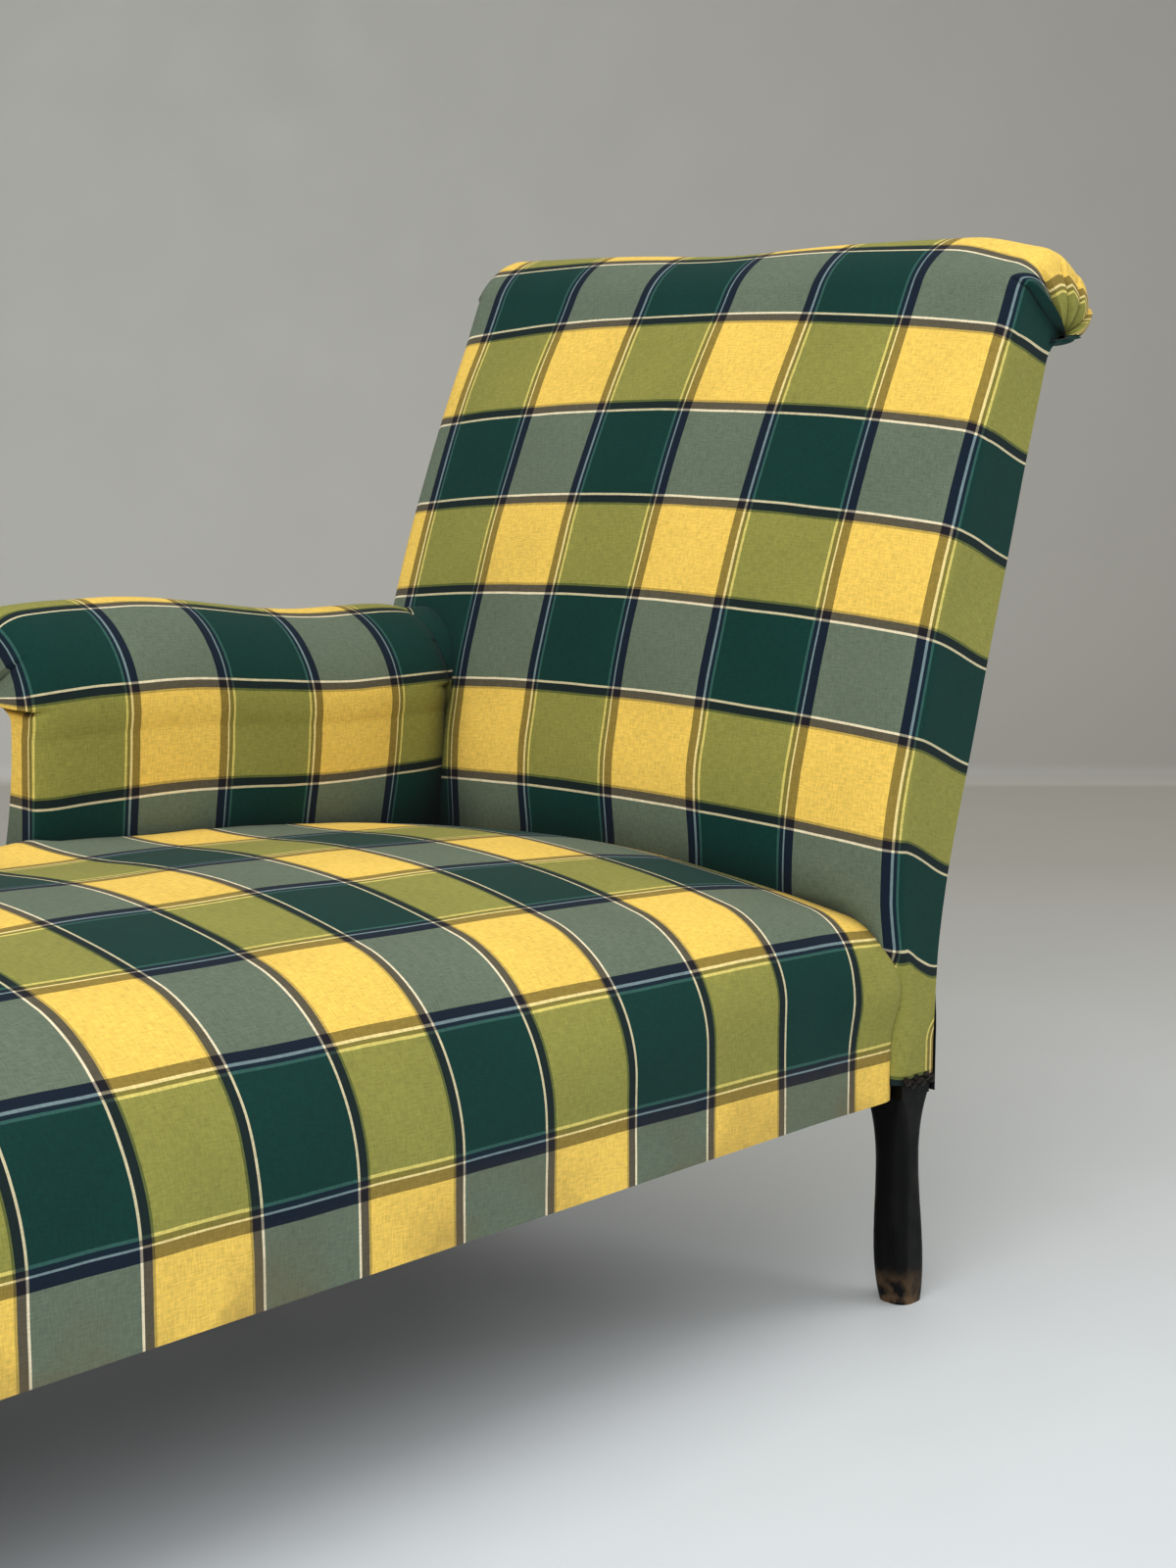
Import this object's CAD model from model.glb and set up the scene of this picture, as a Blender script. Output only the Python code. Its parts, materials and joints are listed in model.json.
import json
import math

import bpy
import numpy as np
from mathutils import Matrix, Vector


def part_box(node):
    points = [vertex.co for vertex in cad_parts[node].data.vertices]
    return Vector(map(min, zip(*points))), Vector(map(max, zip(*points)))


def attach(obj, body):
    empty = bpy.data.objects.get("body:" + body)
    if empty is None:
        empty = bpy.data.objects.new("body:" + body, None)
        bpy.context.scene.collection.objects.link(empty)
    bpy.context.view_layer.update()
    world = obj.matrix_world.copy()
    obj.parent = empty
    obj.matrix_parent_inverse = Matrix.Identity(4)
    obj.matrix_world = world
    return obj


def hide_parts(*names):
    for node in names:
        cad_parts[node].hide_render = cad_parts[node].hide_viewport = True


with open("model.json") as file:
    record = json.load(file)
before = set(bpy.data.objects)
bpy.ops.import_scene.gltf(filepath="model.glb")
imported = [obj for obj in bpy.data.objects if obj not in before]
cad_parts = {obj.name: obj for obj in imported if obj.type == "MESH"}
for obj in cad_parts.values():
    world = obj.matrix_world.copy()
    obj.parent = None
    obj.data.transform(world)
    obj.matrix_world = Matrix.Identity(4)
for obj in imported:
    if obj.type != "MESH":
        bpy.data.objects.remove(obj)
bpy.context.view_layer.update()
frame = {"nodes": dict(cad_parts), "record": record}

# Sizes of the chaise in metres, in the frame of the solids
HALF_LENGTH = 0.770
HALF_WIDTH = 0.303
HEM_Z = 0.172
SEAT_HALF = 0.2917
SEAT_HEAD = 0.538
ARM_FRONT = 0.076
ARM_REAR = 0.511
ARM_SLEEVE = 0.090

# Seat: the round shoulder of its sides and foot end, and its corners seen from above
SIDE_TOP = 0.053
SHOULDER = 0.1334
SHOULDER_REACH = 0.0917
FOOT_CORNER = 0.030
HEAD_CORNER = 0.018
FOOT_ROWS = 10

# One repeat of the woven check: light and dark warp columns, yellow and dark weft rows
LIGHT_COLUMN = 0.0960
DARK_COLUMN = 0.0920
YELLOW_ROW = 0.0896
DARK_ROW = 0.0764
COLUMN_REPEAT = LIGHT_COLUMN + DARK_COLUMN
ROW_REPEAT = YELLOW_ROW + DARK_ROW

# Where the check falls on each cover
BACK_ROW_Z = 0.5473
BACK_ROW_DROOP = 0.018
BACK_COLUMN_START = 0.0225
ROLL_EASE = 0.012
SEAT_CREASE_Z = 0.290
SEAT_ROW_X = -0.1885
SEAT_COLUMN_RISE = 0.0539
SEAT_COLUMN_SLOPE = -0.029
ARM_COLUMN_X = 0.1618
ARM_ROW_Z = 0.397
OUTSIDE_ROW_SHIFT = 0.09
OUTSIDE_BACK_ROW = 0.40

# Side outline of the back, from the hem up the front, over the roll and under it:
# x, z, kind of point, forward bulge at mid width, dip at mid width
BACK_FRONT = [
    (0.5250, 0.1840, "end", 0.000, 0.000),
    (0.5250, 0.2600, "end", 0.000, 0.000),
    (0.5170, 0.2920, "mid", 0.012, 0.000),
    (0.5120, 0.3290, "end", 0.020, 0.000),
    (0.5159, 0.3890, "mid", 0.023, 0.000),
    (0.5285, 0.4440, "end", 0.023, 0.000),
    (0.5805, 0.6064, "mid", 0.022, 0.000),
    (0.6480, 0.7630, "end", 0.014, 0.000),
    (0.6655, 0.8025, "end", 0.009, 0.002),
    (0.6842, 0.8268, "mid", 0.004, 0.004),
    (0.7120, 0.8400, "end", 0.000, 0.005),
    (0.7565, 0.8230, "mid", 0.000, 0.004),
    (0.7700, 0.7880, "end", 0.000, 0.002),
    (0.7580, 0.7600, "mid", 0.000, 0.000),
    (0.7310, 0.7535, "end", 0.000, 0.000),
    (0.7100, 0.7515, "end", 0.000, 0.000),
]

# Rear outline of the back, from the hem to the underside of the roll: x, z, kind of point
BACK_REAR = [
    (0.5700, 0.1720, "end"),
    (0.5700, 0.2140, "end"),
    (0.5740, 0.2810, "end"),
    (0.5824, 0.3310, "mid"),
    (0.5950, 0.3790, "end"),
    (0.7090, 0.7510, "end"),
]
BACK_TUCK = (0.7270, 0.7610)
BACK_FOLD_Z = 0.8060
BACK_SIDE_SLOPE = -0.38

# Front outline of the arm, from the seat up the inner face, over the roll and under it: y, z, kind
ARM_INNER = [
    (0.1840, 0.2400, "end"),
    (0.1760, 0.3500, "mid"),
    (0.1740, 0.4550, "end"),
    (0.1900, 0.5240, "mid"),
    (0.2360, 0.5530, "end"),
    (0.2810, 0.5400, "mid"),
    (0.2970, 0.5150, "end"),
    (0.2860, 0.4880, "mid"),
    (0.2590, 0.4770, "end"),
    (0.2080, 0.4720, "end"),
]

# Outer outline of the arm, from the neck under the roll down to the hem: y, z, kind
ARM_OUTER = [
    (0.2080, 0.4720, "end"),
    (0.2220, 0.3650, "mid"),
    (0.2917, 0.2400, "end"),
    (0.2917, 0.1720, "end"),
]
ARM_TUCK = (0.2450, 0.4830)
ARM_FALL = 0.021
ARM_LIP = 0.003
ARM_FOOT_Z = 0.240
ARM_ROLL_Z = 0.478

# Rise of the seat where its far side is packed against the arm, from the foot to the head
PACKED_AT = [-0.25, -0.10, 0.07, 0.175, 0.290, 0.405, 0.450]
PACKED_RISE = [0.000, 0.007, 0.018, 0.013, 0.010, 0.002, 0.000]

# Cross product below which two lines count as parallel
PARALLEL = 1e-12

# Folds at the ends of the rolls
PLEATS = 6
PLEAT_DEPTH = 0.0040
FIRST_FOLD = 0.0110
ROLL_DOME = 0.009
SIDE_COLUMNS = 22

# Finish of the cloth: wander of its threads, reach of the shade in its creases
THREAD_WAVER = 0.0012
CREASE_REACH = 0.065

# Camera: the photograph's picture is 1200 by 1600 pixels
CAMERA_PLACE = (-1.0185, -1.4058, 0.7046)
CAMERA_HEADING = 42.808
CAMERA_PITCH = -8.549
CAMERA_LENS = 57.6
SENSOR_WIDTH = 36.0

# Stage: the floor's middle, the wall's distance from it and the round between them
STAGE_MIDDLE = (0.2, 0.0, 0.0)
WALL_PLACE = 2.84
WALL_ROUND = 0.04
WALL_TOP = 5.0
FLOOR_START = -6.0
FLOOR_HALF = 7.0


def arc_points(start, middle, end, steps):
    """Points along the circle through three points."""
    a, m, b = (np.array(p, float) for p in (start, middle, end))
    d = 2.0 * (a[0] * (m[1] - b[1]) + m[0] * (b[1] - a[1]) + b[0] * (a[1] - m[1]))
    aa, mm, bb = a @ a, m @ m, b @ b
    cx = (aa * (m[1] - b[1]) + mm * (b[1] - a[1]) + bb * (a[1] - m[1])) / d
    cy = (aa * (b[0] - m[0]) + mm * (a[0] - b[0]) + bb * (m[0] - a[0])) / d
    centre = np.array([cx, cy])
    radius = np.linalg.norm(a - centre)
    first, mid, last = (math.atan2(*(p - centre)[::-1]) for p in (a, m, b))
    turn = (mid - first + math.pi) % (2 * math.pi) - math.pi
    turn += (last - mid + math.pi) % (2 * math.pi) - math.pi
    angles = first + turn * np.linspace(0.0, 1.0, steps + 1)
    return centre + radius * np.stack([np.cos(angles), np.sin(angles)], 1)


def spread(values, at, even):
    """Read columns of values, known at some places, at even places."""
    columns = [np.interp(even, at, column) for column in values.T]
    return np.array(columns).reshape(-1, len(even)).T


def trace(rows, count):
    """Even points along an outline of lines and arcs, with its extra values carried along."""
    steps = 40
    share = np.linspace(0.0, 1.0, steps + 1)
    points, extras = [], []
    i = 0
    while i < len(rows) - 1:
        arc = rows[i + 1][2] == "mid"
        knots = rows[i:i + 3] if arc else rows[i:i + 2]
        ends = [knot[:2] for knot in knots]
        run = arc_points(*ends, steps) if arc else np.linspace(*ends, steps + 1)
        carried = np.array([knot[3:] for knot in knots])
        extra = spread(carried, np.linspace(0.0, 1.0, len(knots)), share)
        fresh = slice(1 if points else 0, None)
        points.append(run[fresh])
        extras.append(extra[fresh])
        i += len(knots) - 1
    points, extras = np.concatenate(points), np.concatenate(extras)
    length = np.concatenate([[0.0], np.cumsum(np.linalg.norm(np.diff(points, axis=0), axis=1))])
    even = np.linspace(0.0, length[-1], count)
    return spread(points, length, even), spread(extras, length, even), even


def inward_normals(points):
    """Unit normals of an outline that point to its inner side, on the right of its run."""
    run = smooth(np.gradient(points, axis=0), 3)
    run /= np.linalg.norm(run, axis=1)[:, None]
    return np.stack([run[:, 1], -run[:, 0]], 1)


def smooth(values, passes):
    """Average neighbours along the first axis a few times, with the ends held."""
    values = values.copy()
    for _ in range(passes):
        values[1:-1] = 0.25 * values[:-2] + 0.5 * values[1:-1] + 0.25 * values[2:]
    return values


def ramp(value, low, high):
    """Smooth step from 0 to 1."""
    t = np.clip((value - low) / (high - low), 0.0, 1.0)
    return t * t * (3.0 - 2.0 * t)


def ripple(a, b, seed, scale):
    """Soft uneven waves over a surface, between about -1 and 1."""
    waves = 7
    draw = np.random.default_rng(seed)
    total = np.zeros(np.broadcast(a, b).shape)
    for _ in range(waves):
        angle = draw.uniform(0.0, 2.0 * math.pi)
        pitch = scale * draw.uniform(0.7, 1.6)
        phase = draw.uniform(0.0, 2.0 * math.pi)
        total = total + np.sin(2.0 * math.pi * (a * math.cos(angle) + b * math.sin(angle)) / pitch + phase)
    return total / (0.5 * waves)


def grid_piece(name, points, cloth, material, flip=False):
    """Make a smooth mesh from a grid of points, with the cloth's own coordinates as its UV map."""
    rows, columns = points.shape[:2]
    index = np.arange(rows * columns).reshape(rows, columns)
    quads = np.stack([index[:-1, :-1], index[:-1, 1:], index[1:, 1:], index[1:, :-1]], -1).reshape(-1, 4)
    if flip:
        quads = quads[:, ::-1]
    mesh = bpy.data.meshes.new(name)
    mesh.from_pydata(points.reshape(-1, 3).tolist(), [], quads.tolist())
    layer = mesh.uv_layers.new(name="cloth")
    layer.data.foreach_set("uv", cloth.reshape(-1, 2)[quads.reshape(-1)].astype(np.float32).ravel())
    mesh.polygons.foreach_set("use_smooth", [True] * len(mesh.polygons))
    mesh.validate()
    mesh.update()
    piece = bpy.data.objects.new(name, mesh)
    bpy.context.collection.objects.link(piece)
    piece.data.materials.append(material)
    return piece


def lengths(points):
    """Running length along the second axis of a grid of points."""
    steps = np.linalg.norm(np.diff(points, axis=1), axis=2)
    return np.concatenate([np.zeros((points.shape[0], 1)), np.cumsum(steps, 1)], 1)


class Nodes:
    """A short way to write shader nodes."""

    def __init__(self, name):
        self.material = bpy.data.materials.new(name)
        self.material.use_nodes = True
        self.tree = self.material.node_tree
        self.shader = self.tree.nodes["Principled BSDF"]
        self.surface = self.tree.nodes["Material Output"].inputs["Surface"]

    def add(self, kind, **values):
        node = self.tree.nodes.new(kind)
        for key, value in values.items():
            setattr(node, key, value)
        return node

    def link(self, source, target):
        self.tree.links.new(source, target)

    def feed(self, socket, value):
        if hasattr(value, "is_output"):
            self.link(value, socket)
        else:
            socket.default_value = value

    def math(self, operation, *values):
        node = self.add("ShaderNodeMath", operation=operation)
        for socket, value in zip(node.inputs, values):
            self.feed(socket, value)
        return node.outputs[0]

    def mix(self, factor, first, second, blend="MIX"):
        node = self.add("ShaderNodeMix", data_type="RGBA", blend_type=blend)
        self.feed(node.inputs["Factor"], factor)
        self.feed(node.inputs[6], first)
        self.feed(node.inputs[7], second)
        return node.outputs[2]

    def noise(self, vector, scale, detail=2.0):
        node = self.add("ShaderNodeTexNoise")
        self.link(vector, node.inputs["Vector"])
        node.inputs["Scale"].default_value = scale
        node.inputs["Detail"].default_value = detail
        return node.outputs[0]

    def stretch(self, vector, scale):
        node = self.add("ShaderNodeMapping")
        self.link(vector, node.inputs["Vector"])
        node.inputs["Scale"].default_value = scale
        return node.outputs[0]

    def steps(self, value, stops):
        """A colour ramp that holds each colour from its place to the next."""
        node = self.add("ShaderNodeValToRGB")
        node.color_ramp.interpolation = "CONSTANT"
        self.feed(node.inputs[0], value)
        elements = node.color_ramp.elements
        for place, colour in stops[:2]:
            element = elements[0] if place == stops[0][0] else elements[1]
            element.position = place
            element.color = colour
        for place, colour in stops[2:]:
            elements.new(place).color = colour
        return node.outputs[0]

    def range(self, value, low, high, to_low, to_high):
        node = self.add("ShaderNodeMapRange")
        self.feed(node.inputs[0], value)
        for socket, number in zip(node.inputs[1:5], (low, high, to_low, to_high)):
            socket.default_value = number
        return node.outputs[0]

    def bump(self, height, strength, distance):
        node = self.add("ShaderNodeBump")
        node.inputs["Strength"].default_value = strength
        node.inputs["Distance"].default_value = distance
        self.link(height, node.inputs["Height"])
        self.link(node.outputs[0], self.shader.inputs["Normal"])


def rgb(red, green, blue):
    """A display colour of 0 to 255 as a linear colour."""
    def linear(value):
        value /= 255.0
        return value / 12.92 if value <= 0.04045 else ((value + 0.055) / 1.055) ** 2.4
    return (linear(red), linear(green), linear(blue), 1.0)


def column_stops(light, dark, wide_band, narrow_band, stripe, line):
    """Colours across one repeat of the warp: a light column, then a dark one, with lines at their edges."""
    half_line, wide, narrow, thin = 0.0009, 0.0078, 0.0034, 0.0020
    edges = [
        (0.0, line),
        (half_line, wide_band),
        (half_line + wide, light),
        (LIGHT_COLUMN - half_line - wide, wide_band),
        (LIGHT_COLUMN - half_line, line),
        (LIGHT_COLUMN + half_line, narrow_band),
        (LIGHT_COLUMN + half_line + narrow, stripe),
        (LIGHT_COLUMN + half_line + narrow + thin, dark),
        (COLUMN_REPEAT - half_line - narrow - thin, stripe),
        (COLUMN_REPEAT - half_line - narrow, narrow_band),
        (COLUMN_REPEAT - half_line, line),
    ]
    return [(place / COLUMN_REPEAT, colour) for place, colour in edges]


def row_stops(yellow, dark, band, thin, line):
    """Grey codes across one repeat of the weft: a yellow row, then a dark one, with lines at their edges."""
    half_line, wide, narrow = 0.0008, 0.0066, 0.0018
    edges = [
        (0.0, line),
        (half_line, band),
        (half_line + wide, thin),
        (half_line + wide + narrow, yellow),
        (YELLOW_ROW - half_line - wide - narrow, thin),
        (YELLOW_ROW - half_line - wide, band),
        (YELLOW_ROW - half_line, line),
        (YELLOW_ROW + half_line, dark),
        (ROW_REPEAT - half_line, line),
    ]
    return [(place / ROW_REPEAT, colour) for place, colour in edges]


def check_colours(n, across, along):
    """Colours of the check: the warp's colours for each kind of weft row, laid over one another."""
    over_yellow = n.steps(across, column_stops(
        rgb(248, 208, 98), rgb(147, 145, 72), rgb(148, 126, 58), rgb(134, 124, 58), rgb(222, 206, 112),
        rgb(244, 222, 150)))
    over_dark = n.steps(across, column_stops(
        rgb(104, 117, 99), rgb(14, 56, 50), rgb(18, 31, 46), rgb(16, 36, 48), rgb(50, 92, 84),
        rgb(118, 138, 142)))
    over_band = n.steps(across, column_stops(
        rgb(92, 86, 70), rgb(24, 38, 38), rgb(30, 28, 34), rgb(22, 26, 34), rgb(48, 64, 58),
        rgb(130, 122, 104)))
    over_thin = n.steps(across, column_stops(
        rgb(196, 166, 82), rgb(96, 104, 54), rgb(104, 90, 50), rgb(72, 72, 42), rgb(140, 138, 78),
        rgb(206, 184, 120)))
    over_line = n.steps(across, column_stops(
        rgb(242, 229, 194), rgb(210, 200, 162), rgb(150, 142, 126), rgb(130, 124, 106), rgb(200, 192, 154),
        rgb(242, 229, 194)))
    black, white = (0.0, 0.0, 0.0, 1.0), (1.0, 1.0, 1.0, 1.0)
    colour = over_yellow
    for layer, marks in (
        (over_dark, (black, white, black, black, black)),
        (over_band, (black, black, white, black, black)),
        (over_thin, (black, black, black, white, black)),
        (over_line, (black, black, black, black, white)),
    ):
        colour = n.mix(n.steps(along, row_stops(*marks)), colour, layer)
    return colour


def soiled(n, colour):
    """Lay dirt along the hem and dark dust in the creases."""
    spot = n.add("ShaderNodeTexCoord").outputs["Object"]
    height = n.add("ShaderNodeSeparateXYZ")
    n.link(spot, height.inputs[0])
    low = n.range(height.outputs[2], HEM_Z, HEM_Z + SIDE_TOP, 0.55, 0.0)
    dirt = n.math("MULTIPLY", low, n.range(n.noise(spot, 16.0, 5.0), 0.42, 0.68, 0.0, 1.0))
    colour = n.mix(dirt, colour, rgb(112, 92, 60))
    crease = n.add("ShaderNodeAmbientOcclusion", samples=8)
    crease.inputs["Distance"].default_value = CREASE_REACH
    dust = n.range(crease.outputs["AO"], 0.18, 0.70, 0.92, 0.0)
    return n.mix(dust, colour, rgb(10, 10, 9))


def check_cloth():
    """The woven check: yellow, olive, grey-green and dark green, with fine lines between."""
    n = Nodes("check_cloth")
    uv = n.add("ShaderNodeUVMap", uv_map="cloth").outputs[0]
    waver = n.range(n.noise(uv, 9.0), 0.0, 1.0, -THREAD_WAVER, THREAD_WAVER)
    split = n.add("ShaderNodeSeparateXYZ")
    n.link(uv, split.inputs[0])
    across = n.math("FRACT", n.math("DIVIDE", n.math("ADD", split.outputs[0], waver), COLUMN_REPEAT))
    along = n.math("FRACT", n.math("DIVIDE", n.math("ADD", split.outputs[1], waver), ROW_REPEAT))
    colour = check_colours(n, across, along)
    thread, fleck = 800.0, 130.0
    warp = n.noise(n.stretch(uv, (thread, fleck, 1.0)), 1.0, 1.0)
    weft = n.noise(n.stretch(uv, (fleck, thread, 1.0)), 1.0, 1.0)
    heather = n.math("ADD", n.math("MULTIPLY", warp, 0.5), n.math("MULTIPLY", weft, 0.5))
    grain = n.range(heather, 0.3, 0.7, 0.80, 1.20)
    cloudy = n.range(n.noise(uv, 14.0, 4.0), 0.3, 0.7, 0.94, 1.05)
    tone = n.math("MULTIPLY", grain, cloudy)
    tint = n.add("ShaderNodeCombineColor")
    for socket in tint.inputs[:3]:
        n.link(tone, socket)
    colour = n.mix(1.0, colour, tint.outputs[0], "MULTIPLY")
    n.link(soiled(n, colour), n.shader.inputs["Base Color"])
    n.link(n.range(heather, 0.3, 0.7, 0.78, 0.95), n.shader.inputs["Roughness"])
    n.shader.inputs["Specular IOR Level"].default_value = 0.12
    n.shader.inputs["Sheen Weight"].default_value = 0.05
    n.shader.inputs["Sheen Roughness"].default_value = 0.5
    n.bump(heather, 0.25, 0.0006)
    return n.material


def ebonised_wood():
    """Black stained wood, satin, rubbed to brown along the foot and its edges."""
    n = Nodes("ebonised_wood")
    place = n.add("ShaderNodeTexCoord").outputs["Object"]
    split = n.add("ShaderNodeSeparateXYZ")
    n.link(place, split.inputs[0])
    grain = n.noise(n.stretch(place, (260.0, 260.0, 14.0)), 1.0, 4.0)
    patch = n.noise(place, 70.0, 4.0)
    low = n.range(split.outputs[2], 0.0, 0.035, 0.75, 0.0)
    worn = n.math("MULTIPLY", low, n.range(patch, 0.42, 0.62, 0.0, 1.0))
    scuff = n.range(n.noise(n.stretch(place, (60.0, 60.0, 18.0)), 1.0, 5.0), 0.60, 0.72, 0.0, 0.35)
    stain = n.mix(n.range(grain, 0.35, 0.65, 0.0, 1.0), rgb(2, 2, 3), rgb(7, 7, 8))
    stain = n.mix(scuff, stain, rgb(34, 28, 25))
    stain = n.mix(worn, stain, rgb(124, 98, 70))
    n.link(stain, n.shader.inputs["Base Color"])
    n.link(n.range(patch, 0.3, 0.7, 0.42, 0.60), n.shader.inputs["Roughness"])
    n.shader.inputs["Specular IOR Level"].default_value = 0.13
    n.bump(grain, 0.12, 0.0008)
    return n.material


def plain_wood():
    """Sawn beech of the frame."""
    n = Nodes("frame_wood")
    place = n.add("ShaderNodeTexCoord").outputs["Object"]
    grain = n.noise(n.stretch(place, (20.0, 220.0, 220.0)), 1.0, 4.0)
    colour = n.mix(n.range(grain, 0.35, 0.65, 0.0, 1.0), rgb(150, 112, 74), rgb(190, 152, 108))
    n.link(colour, n.shader.inputs["Base Color"])
    n.link(n.range(grain, 0.3, 0.7, 0.55, 0.75), n.shader.inputs["Roughness"])
    n.bump(grain, 0.15, 0.001)
    return n.material


def dark_metal(name, first, second, roughness):
    """Dull metal with uneven tarnish."""
    n = Nodes(name)
    place = n.add("ShaderNodeTexCoord").outputs["Object"]
    patch = n.noise(place, 420.0, 3.0)
    n.link(n.mix(n.range(patch, 0.4, 0.6, 0.0, 1.0), first, second), n.shader.inputs["Base Color"])
    n.link(n.range(patch, 0.3, 0.7, roughness, roughness + 0.2), n.shader.inputs["Roughness"])
    n.shader.inputs["Metallic"].default_value = 0.85
    n.bump(patch, 0.1, 0.0004)
    return n.material


def plain_cloth(name, first, second):
    """Coarse plain-woven cloth for the lining, canvas and webbing."""
    n = Nodes(name)
    place = n.add("ShaderNodeTexCoord").outputs["Object"]
    warp = n.noise(n.stretch(place, (900.0, 120.0, 900.0)), 1.0, 1.0)
    weft = n.noise(n.stretch(place, (120.0, 900.0, 900.0)), 1.0, 1.0)
    weave = n.math("MULTIPLY", n.math("ADD", warp, weft), 0.5)
    n.link(n.mix(n.range(weave, 0.4, 0.6, 0.0, 1.0), first, second), n.shader.inputs["Base Color"])
    n.link(n.range(weave, 0.3, 0.7, 0.8, 0.97), n.shader.inputs["Roughness"])
    n.bump(weave, 0.3, 0.0008)
    return n.material


def crown_height(x):
    """Height of the seat's middle line along its length, with the foot end rounded over."""
    places = [-0.770, -0.690, -0.600, -0.400, -0.200, 0.000, 0.200, 0.400, 0.470, 0.505, 0.531]
    heights = [0.352, 0.355, 0.372, 0.382, 0.385, 0.382, 0.377, 0.365, 0.354, 0.344, 0.333]
    samples, passes = 400, 90
    dense = np.linspace(-HALF_LENGTH, SEAT_HEAD, samples)
    line = smooth(np.interp(dense, places, heights), passes)
    top = np.interp(x, dense, line)
    reach = np.clip(x + HALF_LENGTH, 0.0, SHOULDER_REACH)
    edge = HEM_Z + SIDE_TOP + np.sqrt(SHOULDER ** 2 - (SHOULDER - reach) ** 2)
    return np.minimum(top, edge + np.maximum(0.0, x + HALF_LENGTH - SHOULDER_REACH))


def seat_section(side_top, corner, corner_rise, corner_reach):
    """Half of the seat's cross-section, hem to middle: inset from the side, share of the crown's height."""
    side = np.stack([np.zeros(12), np.linspace(0.0, side_top, 12)], 1)
    last = math.acos((corner - corner_reach) / corner)
    angle = np.linspace(0.0, last, 30)
    shoulder = np.stack([corner * (1.0 - np.cos(angle)), side_top + corner_rise * np.sin(angle)], 1)
    inset = np.linspace(corner_reach, SEAT_HALF, 44)
    fall = ((SEAT_HALF - inset) / (SEAT_HALF - corner_reach)) ** 2
    crown = 1.0 - (1.0 - shoulder[-1, 1]) * fall
    return np.concatenate([side, shoulder[1:], np.stack([inset, crown], 1)[1:]])


def seat_places():
    """Places along the seat, close together at both ends."""
    foot_run, head_run = 0.300, 0.060
    foot = -HALF_LENGTH + foot_run * (1.0 - np.cos(np.linspace(0.0, math.pi / 2.0, 40)))
    head = SEAT_HEAD - head_run * (1.0 - np.cos(np.linspace(math.pi / 2.0, 0.0, 24)))
    return np.concatenate([foot, np.linspace(-0.460, 0.465, 150), head])


def corner_inset(distance, radius):
    """How far a round corner draws the side in, at a distance from the end."""
    reach = np.clip(distance, 0.0, radius)
    return radius - np.sqrt(radius ** 2 - (radius - reach) ** 2)


def seat_cover(cloth):
    """The domed seat cover, down over the sides and the foot end to the hem, squarer towards the head."""
    soft = seat_section(side_top=0.255, corner=SHOULDER, corner_rise=0.641, corner_reach=SHOULDER_REACH)
    tight = seat_section(side_top=0.670, corner=0.0320, corner_rise=0.190, corner_reach=0.0280)
    places = seat_places()
    crown = crown_height(places)
    lower = np.linspace(HEM_Z, crown[0], FOOT_ROWS, endpoint=False)
    places = np.concatenate([np.full(FOOT_ROWS, -HALF_LENGTH), places])
    crown = np.concatenate([lower, crown])
    square = np.interp(places, [-0.2, 0.0, 0.2, 0.4, SEAT_HEAD], [0.0, 0.05, 0.2, 0.6, 1.0])[:, None, None]
    half = soft[None] * (1.0 - square) + tight[None] * square
    across = np.concatenate([half[..., 0] - SEAT_HALF, SEAT_HALF - half[:, -2::-1, 0]], 1)
    height = np.concatenate([half[..., 1], half[:, -2::-1, 1]], 1)
    narrow = corner_inset(places + HALF_LENGTH, FOOT_CORNER)
    narrow += corner_inset(SEAT_HEAD - places, HEAD_CORNER)
    x = np.repeat(places[:, None], across.shape[1], 1)
    y = across * ((SEAT_HALF - narrow) / SEAT_HALF)[:, None]
    z = HEM_Z + height * (crown - HEM_Z)[:, None]
    points = np.stack(seat_swell(x, y, z), 2)
    u, v = seat_threads(points, places)
    tuck_under_arm(points)
    return grid_piece("seat_cloth", points, np.stack([u, v], 2), cloth, flip=True)


def seat_swell(x, y, z):
    """Let the seat swell softly, rise along the arm and push out where it is packed against the stiles."""
    side = ramp(np.abs(y), 0.23, 0.285)
    swell = 0.003 + 0.0085 * np.exp(-((z - 0.260) / 0.024) ** 2)
    at_stile = ramp(x, 0.43, 0.52)
    y = y + np.sign(y) * swell * at_stile * side
    y = y + np.sign(y) * 0.0008 * ripple(x, z, 8, 0.11) * side * ramp(z, 0.185, 0.23)
    z = z + 0.0010 * ripple(x, y, 3, 0.17) * ramp(z, 0.23, 0.29)
    packed = np.interp(x, PACKED_AT, PACKED_RISE)
    toward_arm = (np.clip(y - 0.06, 0.0, 0.2) / 0.105) ** 2
    z = z + packed * toward_arm * (1.0 - ramp(y, 0.165, 0.250))
    return x, y, z


def seat_threads(points, places):
    """The cloth's coordinates on the seat: columns counted up from the near hem, rows along the length."""
    level_rows = FOOT_ROWS + 20
    start = SEAT_COLUMN_RISE + SEAT_COLUMN_SLOPE * (places - 0.067)
    u = LIGHT_COLUMN + lengths(points) - start[:, None]
    u[:level_rows] = u[level_rows]
    middle = points[:, points.shape[1] // 2]
    run = np.concatenate([[0.0], np.cumsum(np.linalg.norm(np.diff(middle, axis=0), axis=1))])
    run -= np.interp(SEAT_ROW_X, places[FOOT_ROWS:], run[FOOT_ROWS:])
    return u, np.repeat(run[:, None], points.shape[1], 1)


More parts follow.
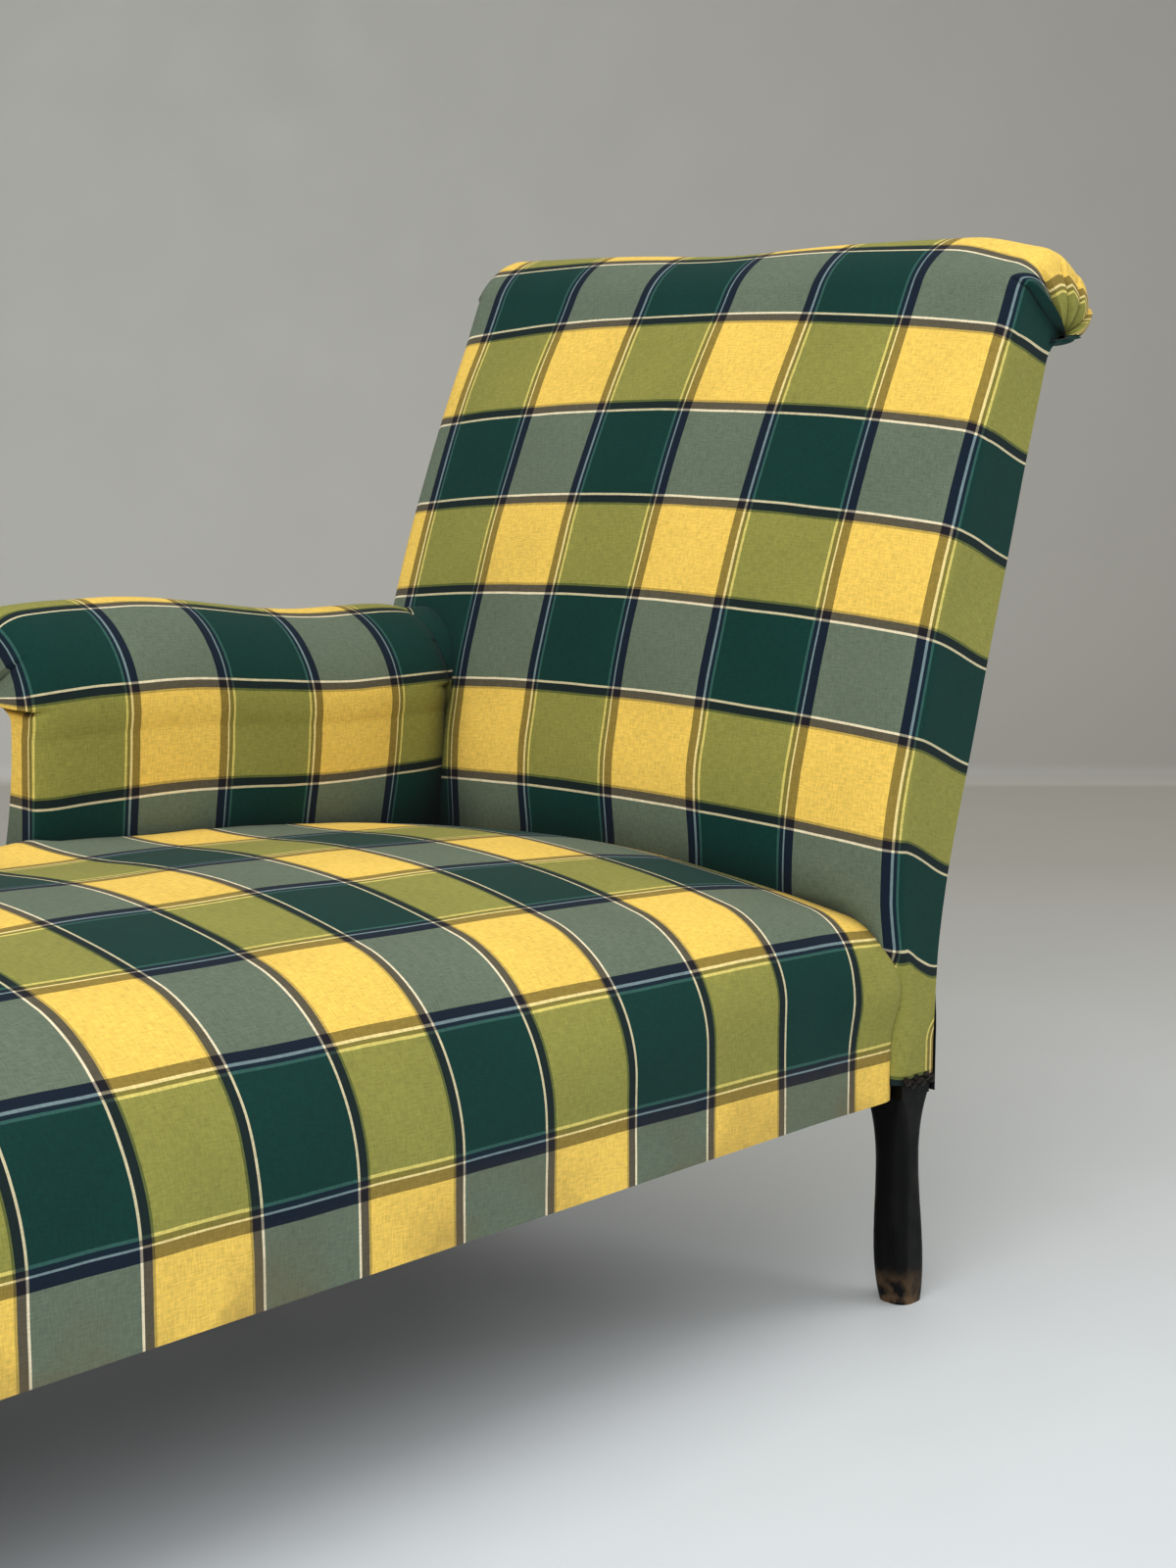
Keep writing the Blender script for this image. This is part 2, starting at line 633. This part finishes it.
def tuck_under_arm(points):
    """Draw the far side of the seat down into the crease along the arm, from the arm's front on."""
    crease, innermost, lowest, deepest = 0.165, 0.180, 0.19, 0.19
    x, y, z = points[..., 0], points[..., 1], points[..., 2]
    tucked = ramp(x, ARM_FRONT + 0.003, ARM_FRONT + 0.011)
    over = np.maximum(0.0, y - crease)
    drop = np.minimum(deepest, 200.0 * over ** 2 + 0.3 * over)
    lowered = np.minimum(z, np.maximum(lowest, z - drop))
    points[..., 2] = np.where(over > 0, z * (1.0 - tucked) + tucked * lowered, z)
    points[..., 1] = y * (1.0 - tucked) + tucked * np.minimum(y, innermost)


def end_rays(points, slopes, far_line):
    """Where lines of given slopes through an outline's points meet a far line; None where they pass it."""
    hits = []
    for point, slope in zip(points, slopes):
        run = np.array([1.0, slope])
        best = None
        for start, end in zip(far_line[:-1], far_line[1:]):
            side = end - start
            cross = run[0] * side[1] - run[1] * side[0]
            if abs(cross) < PARALLEL:
                continue
            gap = start - point
            reach = (gap[0] * side[1] - gap[1] * side[0]) / cross
            share = (gap[0] * run[1] - gap[1] * run[0]) / cross
            on_side = -0.01 <= share <= 1.01
            if reach > 0.0 and on_side and (best is None or reach < best):
                best = reach
        hits.append(None if best is None else point + run * best)
    return hits


def pleat(fraction):
    """Height of overlapping folds round the end of a roll: each starts with a sharp lip and thins out."""
    turn = fraction * PLEATS
    left = 1.0 - turn % 1.0
    depth = np.where(turn < 1.0, FIRST_FOLD, PLEAT_DEPTH)
    notch = 0.003 * np.exp(-(left / 0.09) ** 2)
    lip = np.where(fraction > 0.0, depth * left ** 1.3 - notch, 0.0)
    before = np.argmax(fraction > 0.0) - np.arange(len(fraction))
    groove = np.where(before > 0, 0.007 * np.exp(-((before - 1) / 1.6) ** 2), 0.0)
    return lip - groove


def rolled_cover(outline, near_normals, far_normals, ends, rolled, shift, span, corners, sleeve=None):
    """Grid of a cover that is wrapped over an outline and closed at both ends with pleats.

    outline, normals and ends are flat points for each row; rolled runs from 0 to 1 along the roll's rows.
    A sleeve, the length by which each row runs on, takes the place of the far end.
    Returns the flat points, the places along the span, the first column past the near corner and how far
    each column lies in from that corner on the near end, from 1 at the tuck to 0.
    """
    side = np.linspace(1.0, 0.0, SIDE_COLUMNS)
    turn = np.radians(np.linspace(90.0, 0.0, 10))[1:]
    low, high = span
    middle = np.linspace(low + corners[0], high - corners[1], 72)[1:-1]
    fold = pleat(rolled)
    near, far = [], []
    for sign, edge, radius, into, columns in (
        (-1.0, low, corners[0], near_normals, near),
        (1.0, high, corners[1], far_normals, far),
    ):
        corner = shift(outline, edge) + into * radius
        for t in side:
            raised = fold * math.sin(math.pi * (0.15 + 0.80 * t)) ** 0.6
            domed = ROLL_DOME * math.sin(math.pi * t) ** 0.8 * ramp(rolled, 0.05, 0.45)
            if sign > 0.0 and sleeve is not None:
                columns.append((corner, edge + sleeve * t))
            else:
                columns.append((corner * (1.0 - t) + ends * t, edge + sign * (raised + domed)))
        for angle in turn:
            at = edge - sign * radius * (1.0 - math.sin(angle))
            raised = 0.50 * fold * math.sin(angle) ** 2
            drawn_in = into * radius * (1.0 - math.cos(angle))
            columns.append((shift(outline, at) + drawn_in, at + sign * raised))
    body = [(shift(outline, at), np.full(len(outline), at)) for at in middle]
    columns = near + body + far[::-1]
    flat = np.stack([column[0] for column in columns], 1)
    place = np.stack([np.broadcast_to(column[1], len(outline)) for column in columns], 1)
    inward = np.concatenate([side, np.zeros(len(columns) - len(side))])
    return flat, place, len(side) + len(turn), inward


def back_rows(outline, run, rolled, fold_row, inward, corner):
    """The cloth's rows on the back: eased over the roll and down the stiles, gathered at the roll's end."""
    low_rate, gathered_rate, under_rate = 0.76, 0.47, 0.2
    height = outline[:, 1]
    along = run - np.interp(BACK_ROW_Z, height[:fold_row], run[:fold_row])
    top = np.argmax(height)
    eased = ROLL_EASE * ramp(height, 0.775, 0.838)
    eased[top:] = ROLL_EASE
    along = along + eased
    low = np.interp(SEAT_CREASE_Z, height[:fold_row], along[:fold_row])
    along = np.where(along < low, low + low_rate * (along - low), along)
    first = along[top] - 0.010
    gathered = np.where(along > first, first + gathered_rate * (along - first), along)
    last = np.interp(0.60, rolled, gathered)
    gathered = np.where(gathered > last, last + under_rate * (gathered - last), gathered)
    v = np.repeat(gathered[:, None], len(inward), 1)
    bend = 0.005 + 0.011 * (1.0 - ramp(height, 0.30, 0.42)) * ramp(height, 0.21, 0.26)
    bend = bend * (rolled <= 0.0)
    v -= bend[:, None] * (inward - ramp(inward, 0.0, 1.0))[None, :]
    past = np.arange(len(inward)) / corner
    edge = np.interp(inward, [0.0, 0.3, 1.0], [0.62, 0.80, 0.0])
    edge = smooth(edge * np.interp(past, [0.70, 1.0], [1.0, 0.0]), 4)
    droop = 0.0095 * np.exp(-((height - 0.285) / 0.040) ** 2)
    return v + droop[:, None] * edge[None, :]


def back_columns(points, outline, rolled, corner):
    """The cloth's columns on the back, counted from the near corner and drawn aside by the padding."""
    height = outline[:, 1:]
    near_seat = 1.0 - ramp(height, 0.345, 0.430)
    halfway_up = ramp(height, 0.40, 0.50) * (1.0 - ramp(height, 0.70, 0.80))
    on_roll = ramp(rolled, 0.0, 0.16)[:, None]
    on_stile = 1.0 - ramp(height, 0.215, 0.295)
    u = lengths(points)
    u = u - u[:, corner:corner + 1] + BACK_COLUMN_START
    u += 0.010 * near_seat * ramp(u, 0.08, 0.20)
    u -= 0.005 * halfway_up * ramp(u, 0.08, 0.25)
    u += 0.026 * on_roll * (1.0 - ramp(u, 0.0, 0.11))
    u -= 0.055 * on_stile
    return u


def back_ends(outline):
    """Where the rows of the back's sides end: on the rear outline, or at the tuck under the roll."""
    rear, _, _ = trace(BACK_REAR, 160)
    slopes = BACK_SIDE_SLOPE * ramp(outline[:, 1], 0.200, 0.290)
    hits = end_rays(outline, slopes, rear)
    first_past = next(i for i, hit in enumerate(hits) if hit is None)
    tuck = np.array(BACK_TUCK)
    return smooth(np.array([hit if i < first_past else tuck for i, hit in enumerate(hits)]), 12)


def back_cover(cloth):
    """The inside back, drawn over the roll at the top and round both sides, with pleated roll ends."""
    outline, extra, run = trace(BACK_FRONT, 420)
    fold_row = np.argmax(outline[:, 1] > BACK_FOLD_Z)
    rolled = np.clip((run - run[fold_row]) / (run[-1] - run[fold_row]), 0.0, 1.0)
    on_top = ramp(outline[:, 1], 0.795, 0.835)[:, None]

    def shift(points, y):
        crown = 1.0 - (y / HALF_WIDTH) ** 2
        hollow = math.exp(-((y - 0.03) / 0.085) ** 2)
        sunk = 0.012 * ramp(-y, 0.225, 0.310)
        return points - extra * np.array([crown, hollow]) - on_top * np.array([0.0, sunk])

    under = (1.0 - 0.7 * ramp(rolled, 0.45, 0.70))[:, None]
    normals = smooth(inward_normals(outline), 24) * under
    flat, y, corner, inward = rolled_cover(
        outline, normals, normals, back_ends(outline), rolled, shift,
        span=(-HALF_WIDTH, HALF_WIDTH), corners=(0.016, 0.018))
    points = np.stack([flat[..., 0], y, flat[..., 1]], 2)
    z = points[..., 2]
    wave = 0.0009 * ripple(run[:, None], y, 11, 0.17)
    points[..., 0] -= wave * ramp(z, 0.33, 0.42) * (1.0 - ramp(z, 0.74, 0.80))
    u = back_columns(points, outline, rolled, corner)
    v = back_rows(outline, run, rolled, fold_row, inward, corner)
    under_end = ramp(rolled, 0.78, 0.84)[:, None] * (np.arange(y.shape[1]) < corner)
    dark_row = ROW_REPEAT * np.floor(v[-1, 0] / ROW_REPEAT) + YELLOW_ROW + 0.5 * DARK_ROW
    u += under_end * (-0.5 * DARK_COLUMN - u)
    v += under_end * (dark_row - v)
    v += BACK_ROW_DROOP * np.clip(np.abs(y) / HALF_WIDTH, 0.0, 1.0) ** 2
    return grid_piece("back_cloth", points, np.stack([u, v], 2), cloth)


def arm_drop(z, x):
    """How far the arm's outline has sunk: at its front lip, and in a soft step towards the back."""
    fall = ARM_FALL * ramp(x, 0.19, 0.41) + ARM_LIP * (1.0 - ramp(x, 0.06, 0.14))
    return fall * np.clip((z - ARM_FOOT_Z) / 0.31, 0.0, 1.1)


def arm_ends(outline, roll_row):
    """Where the rows of the arm's front face end: on the outer outline, or at the tuck under the roll."""
    outer, _, _ = trace(ARM_OUTER, 80)
    outer_y = np.interp(outline[:, 1], outer[::-1, 1], outer[::-1, 0])
    ends = np.stack([outer_y, outline[:, 1]], 1)
    ends[roll_row:] = ARM_TUCK
    return smooth(ends, 8)


def arm_threads(points, outline, run, roll_row, corner):
    """The cloth's coordinates on the arm, held together on the sleeve that goes in behind the back."""
    x, height = points[..., 0], outline[:, 1:]
    u = lengths(points)
    u = u - u[:, corner:corner + 1] + x[0, corner] - ARM_COLUMN_X
    packed_in = 0.15
    lean = 0.004 + 0.035 * np.clip(x - 0.10, 0.0, 0.45)
    u += lean * (1.0 - ramp(height, 0.330, 0.470))
    hidden = u[:, -SIDE_COLUMNS:]
    u[:, -SIDE_COLUMNS:] = hidden[:, :1] + packed_in * (hidden - hidden[:, :1])
    along = run - np.interp(ARM_ROW_Z, outline[:roll_row, 1], run[:roll_row])
    slack = np.interp(along, [-0.05, 0.0, YELLOW_ROW, ROW_REPEAT], [0.004, 0.005, 0.0060, 0.004])
    along = along - slack
    v = np.repeat(along[:, None], points.shape[1], 1)
    sunk_in = ramp(np.linspace(0.0, 1.0, SIDE_COLUMNS), 0.0, 0.25)
    v[:, -SIDE_COLUMNS:] -= 0.035 * ramp(height, 0.500, 0.535) * sunk_in[None, :]
    return u, v


def arm_cover(cloth):
    """The inside arm, drawn over its roll, with a pleated front end and a narrow front face."""
    outline, _, run = trace(ARM_INNER, 260)
    roll_row = np.argmax(outline[:, 1] > ARM_ROLL_Z)
    rolled = np.clip((run - run[roll_row]) / (run[-1] - run[roll_row]), 0.0, 1.0)

    def shift(points, x):
        moved = points.copy()
        moved[:, 1] -= arm_drop(points[:, 1], x)
        bulge = 0.004 * math.sin(math.pi * min(1.0, max(0.0, (x - ARM_FRONT) / 0.43)))
        moved[:, 0] -= bulge * np.sin(math.pi * np.clip((points[:, 1] - 0.30) / 0.22, 0.0, 1.0))
        return moved

    normals = inward_normals(outline)
    front_normals = normals * (0.35 + 0.25 * ramp(rolled, 0.0, 0.20))[:, None]
    rear_normals = normals * np.array([0.22, 0.14])
    sleeve = ARM_SLEEVE * np.interp(outline[:, 1], [0.24, 0.40, 0.50], [0.50, 0.75, 1.0])
    flat, x, corner, _ = rolled_cover(
        outline, front_normals, rear_normals, arm_ends(outline, roll_row), rolled, shift,
        span=(ARM_FRONT, ARM_REAR), corners=(0.026, 0.045), sleeve=sleeve)
    points = np.stack([x, flat[..., 0], flat[..., 1]], 2)
    points[..., 1] += 0.0008 * ripple(run[:, None], x, 21, 0.15)
    u, v = arm_threads(points, outline, run, roll_row, corner)
    return grid_piece("arm_cloth", points, np.stack([u, v], 2), cloth, flip=True)


def outside_arm(cloth):
    """The outside arm panel, from under the roll down over the rail."""
    outline, _, run = trace(ARM_OUTER, 60)
    y, z = outline[:, 0] + 0.0006, outline[:, 1]
    places = np.linspace(ARM_FRONT + 0.001, 0.532, 60)
    points = np.stack([np.stack([np.full(len(z), x), y, z - arm_drop(z, x)], 1) for x in places], 1)
    neck_z = ARM_OUTER[0][1]
    u = np.repeat((places - ARM_COLUMN_X)[None, :], len(run), 0)
    v = np.repeat((ARM_ROW_Z + OUTSIDE_ROW_SHIFT - neck_z - run)[:, None], len(places), 1)
    return grid_piece("outside_arm_cloth", points, np.stack([u, v], 2), cloth)


def outside_back(cloth):
    """The outside back panel, tacked down both stiles from under the roll to the hem."""
    margin = 0.0015
    outline, _, run = trace(BACK_REAR, 110)
    x, z = outline[:, 0], outline[:, 1]
    across = np.linspace(-HALF_WIDTH + margin, HALF_WIDTH - margin, 70)
    over_legs = 0.006 * (1.0 - ramp(z, 0.215, 0.275))
    rows = []
    for y in across:
        sag = 0.0015 * (1.0 - (y / HALF_WIDTH) ** 2) - over_legs
        rows.append(np.stack([x - sag, np.full(len(run), y), z], 1))
    points = np.stack(rows, 1)
    u = np.repeat((across + HALF_WIDTH)[None, :], len(run), 0)
    v = np.repeat((run - OUTSIDE_BACK_ROW)[:, None], len(across), 1)
    return grid_piece("outside_back_cloth", points, np.stack([u, v], 2), cloth, flip=True)


def dust_cover(lining):
    """The black lining tacked under the seat frame, hanging a little in the middle."""
    margin = 0.003
    low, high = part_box("dust_cover")
    x = np.linspace(low[0] + margin, high[0] - margin, 90)[:, None]
    y = np.linspace(low[1] + margin, high[1] - margin, 40)[None, :]
    along = 2.0 * (x - low[0]) / (high[0] - low[0]) - 1.0
    across = 2.0 * (y - low[1]) / (high[1] - low[1]) - 1.0
    sag = 0.006 * (1.0 - along ** 4) * (1.0 - across ** 2)
    wave = 0.0008 * ripple(x, y, 5, 0.20) * (1.0 - across ** 4)
    x, y = np.broadcast_arrays(x, y)
    points = np.stack([x, y, low[2] - (sag + wave)], 2)
    return grid_piece("lining_cloth", points, np.stack([x, y], 2), lining)


def dress_nodes():
    """Give the solids that stay in view their finish."""
    finishes = {
        "ebonised_wood": ebonised_wood(),
        "frame_wood": plain_wood(),
        "dark_nails": dark_metal("dark_nails", rgb(18, 16, 15), rgb(46, 40, 35), 0.30),
        "screw_steel": dark_metal("screw_steel", rgb(120, 120, 122), rgb(160, 160, 162), 0.35),
        "spring_steel": dark_metal("spring_steel", rgb(110, 92, 74), rgb(140, 126, 108), 0.4),
        "jute_webbing": plain_cloth("jute_webbing", rgb(150, 122, 82), rgb(184, 156, 112)),
        "hessian": plain_cloth("hessian", rgb(160, 132, 92), rgb(196, 168, 124)),
        "stuffing": plain_cloth("stuffing", rgb(120, 106, 86), rgb(160, 146, 120)),
        "black_lining": plain_cloth("black_lining", rgb(16, 16, 18), rgb(34, 34, 36)),
    }
    for row in frame["record"]["subparts"]:
        finish = finishes.get(row["material_slot"])
        node = frame["nodes"].get(row["node"])
        if finish and node:
            node.data.materials.clear()
            node.data.materials.append(finish)
    return finishes


def painted_studio():
    """Pale painted boards that run up into a plain grey wall, a little darker away from the window."""
    n = Nodes("studio_floor")
    place = n.add("ShaderNodeUVMap", uv_map="cloth").outputs[0]
    split = n.add("ShaderNodeSeparateXYZ")
    n.link(place, split.inputs[0])
    sideways, distance = split.outputs[0], split.outputs[1]
    boards = n.mix(n.range(distance, -1.0, 2.0, 0.0, 1.0), rgb(240, 248, 255), rgb(196, 193, 184))
    wall = n.mix(n.range(sideways, -0.8, 1.6, 0.0, 1.0), rgb(208, 208, 203), rgb(172, 170, 163))
    upward = n.range(distance, WALL_PLACE + 0.3, WALL_PLACE + 1.6, 0.0, 0.30)
    wall = n.mix(upward, wall, rgb(112, 110, 104))
    on_wall = n.range(distance, WALL_PLACE - 0.02, WALL_PLACE + 0.01, 0.0, 1.0)
    colour = n.mix(on_wall, boards, wall)
    cloud = n.noise(place, 1.6, 4.0)
    colour = n.mix(n.range(cloud, 0.3, 0.7, 0.0, 0.05), colour, rgb(120, 120, 118))
    n.link(colour, n.shader.inputs["Base Color"])
    n.link(n.range(n.noise(place, 7.0, 5.0), 0.3, 0.7, 0.45, 0.62), n.shader.inputs["Roughness"])
    n.bump(cloud, 0.05, 0.002)
    open_behind(n)
    return n.material


def open_behind(n):
    """Let the camera look through the backdrop from behind, so that the chaise shows from all sides."""
    seen = n.math(
        "MULTIPLY", n.add("ShaderNodeNewGeometry").outputs["Backfacing"],
        n.add("ShaderNodeLightPath").outputs["Is Camera Ray"])
    blend = n.add("ShaderNodeMixShader")
    n.link(seen, blend.inputs[0])
    n.link(n.shader.outputs[0], blend.inputs[1])
    n.link(n.add("ShaderNodeBsdfTransparent").outputs[0], blend.inputs[2])
    n.link(blend.outputs[0], n.surface)


def backdrop():
    """A pale floor that turns up into a plain wall across the camera's view."""
    heading = math.radians(CAMERA_HEADING)
    forward = np.array([math.cos(heading), math.sin(heading), 0.0])
    right = np.array([forward[1], -forward[0], 0.0])
    up = np.array([0.0, 0.0, 1.0])
    centre = np.array(STAGE_MIDDLE)
    foot = WALL_PLACE - WALL_ROUND
    turn = np.linspace(0.1, math.pi / 2.0, 8)
    profile = [(FLOOR_START, 0.0), (foot, 0.0)]
    profile += [(foot + WALL_ROUND * math.sin(a), WALL_ROUND - WALL_ROUND * math.cos(a)) for a in turn]
    profile += [(WALL_PLACE, WALL_TOP)]
    sides = np.linspace(-FLOOR_HALF, FLOOR_HALF, 3)
    grid = np.array([[centre + forward * d + right * a + up * h for a in sides] for d, h in profile])
    places = np.array([[(a, d + h) for a in sides] for d, h in profile])
    return grid_piece("studio_floor", grid, places, painted_studio())


def area_lamp(name, size, energy, place, target=None):
    """A soft lamp, turned to a point or left facing straight down."""
    light = bpy.data.lights.new(name, "AREA")
    light.shape = "RECTANGLE"
    light.size, light.size_y = size
    light.energy = energy
    lamp = bpy.data.objects.new(name, light)
    lamp.location = place
    if target:
        aim(lamp, target)
    bpy.context.collection.objects.link(lamp)


def room_light():
    """Even, slightly warm light from all round."""
    world = bpy.data.worlds.new("studio")
    world.use_nodes = True
    background = world.node_tree.nodes["Background"]
    background.inputs["Color"].default_value = (1.0, 0.99, 0.97, 1.0)
    background.inputs["Strength"].default_value = 0.35
    bpy.context.scene.world = world


def set_camera():
    """The camera that took the picture."""
    camera = bpy.data.cameras.new("camera")
    camera.sensor_fit = "AUTO"
    camera.sensor_width = SENSOR_WIDTH
    camera.lens = CAMERA_LENS
    view = bpy.data.objects.new("camera", camera)
    view.location = CAMERA_PLACE
    pitch = math.radians(90.0 + CAMERA_PITCH)
    view.rotation_euler = (pitch, 0.0, math.radians(CAMERA_HEADING - 90.0))
    bpy.context.collection.objects.link(view)
    bpy.context.scene.camera = view


def stage():
    """Set the backdrop, a soft key light from the right, a fill from the left, a top light and a camera."""
    floor = backdrop()
    area_lamp("key", size=(2.6, 2.2), energy=30.0, place=(2.1, -2.4, 2.3), target=(0.2, 0.0, 0.35))
    area_lamp("fill", size=(3.0, 3.0), energy=77.0, place=(-2.8, -1.4, 2.5), target=(0.2, 0.0, 0.4))
    area_lamp("top", size=(2.4, 2.4), energy=30.0, place=(0.1, -0.5, 3.0))
    room_light()
    set_camera()
    bpy.context.scene.view_settings.view_transform = "Standard"


def aim(lamp, target):
    """Turn a lamp to a point."""
    run = np.array(target) - np.array(lamp.location)
    run /= np.linalg.norm(run)
    lamp.rotation_euler = (math.acos(-run[2]), 0.0, math.atan2(run[1], run[0]) - math.pi / 2.0)


def padded_covers(cloth):
    """Make the padded pieces, each with the solids that it takes the place of."""
    return {
        seat_cover(cloth): (
            "seat_cover", "seat_stuffing", "seat_canvas", "seat_webbing_long", "seat_webbing_cross"),
        back_cover(cloth): (
            "back_cover", "back_stuffing", "back_canvas", "back_webbing",
            "near_roll_pleats", "far_roll_pleats", "near_stile_cover", "far_stile_cover"),
        arm_cover(cloth): (
            "arm_inside_cover", "arm_stuffing", "arm_canvas", "arm_front_facing", "arm_roll_pleats"),
    }


def declare_sheet(piece, node):
    """Put a stretched sheet in the place of its solid."""
    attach(piece, "root")
    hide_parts(node)


def main():
    """Dress the frame and set the stage."""
    cloth = check_cloth()
    finishes = dress_nodes()
    for piece, nodes in padded_covers(cloth).items():
        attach(piece, "root")
        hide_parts(*nodes)
    declare_sheet(
        outside_arm(cloth), "arm_outside_cover")
    declare_sheet(
        outside_back(cloth), "outside_back_cover")
    declare_sheet(
        dust_cover(finishes["black_lining"]), "dust_cover")
    stage()


main()
